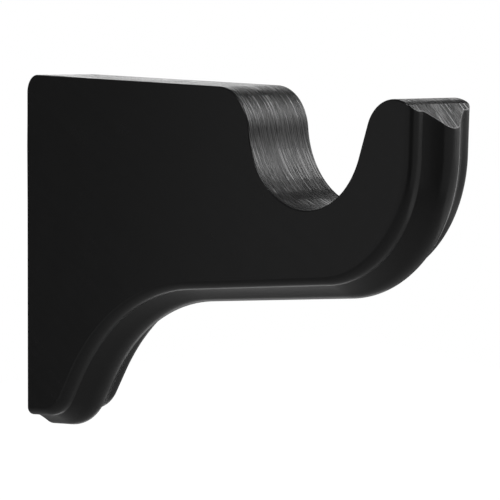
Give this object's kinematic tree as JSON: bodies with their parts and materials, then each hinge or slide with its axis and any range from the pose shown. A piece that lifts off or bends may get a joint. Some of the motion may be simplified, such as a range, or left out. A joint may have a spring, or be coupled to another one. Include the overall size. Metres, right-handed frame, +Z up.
{
  "type": "return bracket for a curtain pole",
  "caption": "Black painted wooden return bracket: a board on edge with a round open seat for a curtain pole and a moulded, curved lower edge.",
  "frame": {"origin": "on the wall face, in the middle of the thickness, level with the axis of the pole's seat", "axes": "+X away from the wall towards the tip, +Y along the pole through the board's thickness, +Z up"},
  "size_m": [0.1502, 0.019, 0.0988],
  "materials": {
    "black_paint": "satin black paint on wood"
  },
  "bodies": {
    "root": {"bracket": "black_paint"}
  },
  "joints": []
}
